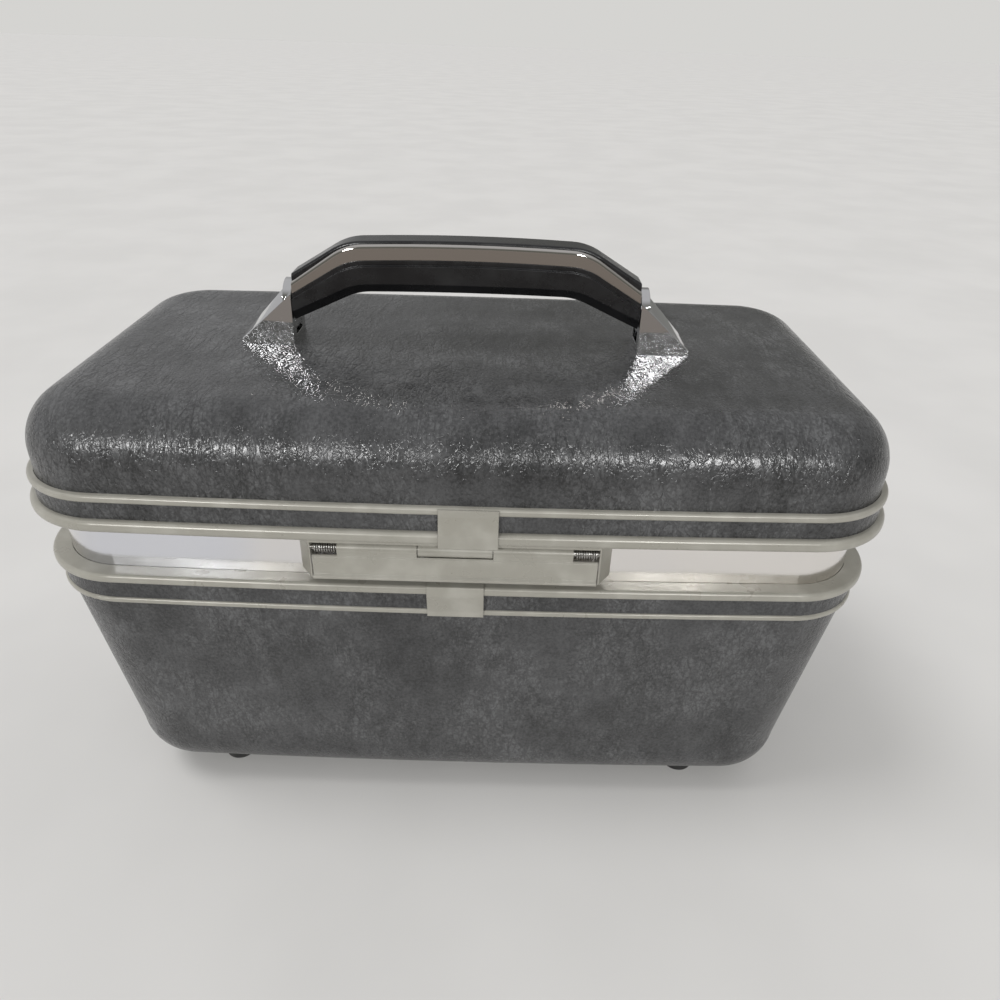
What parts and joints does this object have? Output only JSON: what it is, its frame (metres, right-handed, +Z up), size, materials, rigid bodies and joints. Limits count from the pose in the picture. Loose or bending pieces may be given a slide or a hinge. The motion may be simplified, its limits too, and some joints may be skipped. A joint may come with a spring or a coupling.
{
  "type": "makeup storage case with handle",
  "caption": "Hard-sided makeup case with a hinged lid, swing handle, lever latch, lift-out tray and mirror, on feet.",
  "frame": {"origin": "on the standing surface under the middle of the case", "axes": "+X along the long side to the right as seen from the latch, +Y towards the hinges, +Z up"},
  "size_m": [0.353, 0.1914, 0.2451],
  "materials": {
    "grained_shell": "satin leather grain",
    "taupe_frame": "satin paint",
    "polished_band": "polished",
    "bright_trim": "bright plating",
    "black_grip": "semi gloss",
    "foot_rubber": "matt",
    "plated_steel": "plated",
    "lining_cloth": "satin cloth",
    "tray_plastic": "moulded",
    "mirror": "silvered glass"
  },
  "bodies": {
    "base": {"base_shell": "grained_shell", "base_frame": "taupe_frame", "base_inlay": "grained_shell", "valance_band": "polished_band", "base_strap": "taupe_frame", "latch_strike": "plated_steel", "lock_plate": "plated_steel", "feet": "foot_rubber", "foot_screws": "plated_steel", "hinge_base_leaves": "plated_steel", "hinge_pins": "plated_steel", "hinge_base_rivets": "plated_steel", "base_lining": "lining_cloth", "tray_rest_left": "tray_plastic", "tray_rest_right": "tray_plastic", "side_pocket": "lining_cloth"},
    "lid": {"lid_shell": "grained_shell", "lid_frame": "taupe_frame", "lid_inlay": "grained_shell", "lid_strap": "taupe_frame", "latch_housing": "taupe_frame", "latch_pin": "plated_steel", "latch_springs": "plated_steel", "hinge_lid_leaves": "plated_steel", "hinge_lid_rivets": "plated_steel", "lid_lining": "lining_cloth", "mirror_frame": "tray_plastic", "mirror_glass": "mirror", "handle_plate": "plated_steel", "mount_screws": "plated_steel", "handle_mount_left": "bright_trim", "handle_mount_right": "bright_trim", "handle_pins": "plated_steel"},
    "handle": {"handle_grip": "black_grip", "handle_chrome_front": "bright_trim", "handle_chrome_back": "bright_trim"},
    "latch_lever": {"latch_lever": "taupe_frame"},
    "tray": {"tray": "tray_plastic"}
  },
  "joints": [
    {"name": "lid_hinge", "type": "hinge", "parent": "base", "child": "lid", "pos_m": [0, 0.09029, 0.148], "axis": [-1, 0, 0], "range_deg": [0, 100]},
    {"name": "latch_release", "type": "hinge", "parent": "lid", "child": "latch_lever", "pos_m": [0, -0.09, 0.147], "axis": [-1, 0, 0], "range_deg": [0, 70], "stiffness_Nm_per_rad": 0.02, "springref_deg": -17.19},
    {"name": "handle_swing", "type": "hinge", "parent": "lid", "child": "handle", "pos_m": [0, 0, 0.217], "axis": [1, 0, 0], "range_deg": [-80, 80]},
    {"name": "tray_lift", "type": "slide", "parent": "base", "child": "tray", "axis": [0, 0, 1], "range_m": [0, 0.045]}
  ]
}
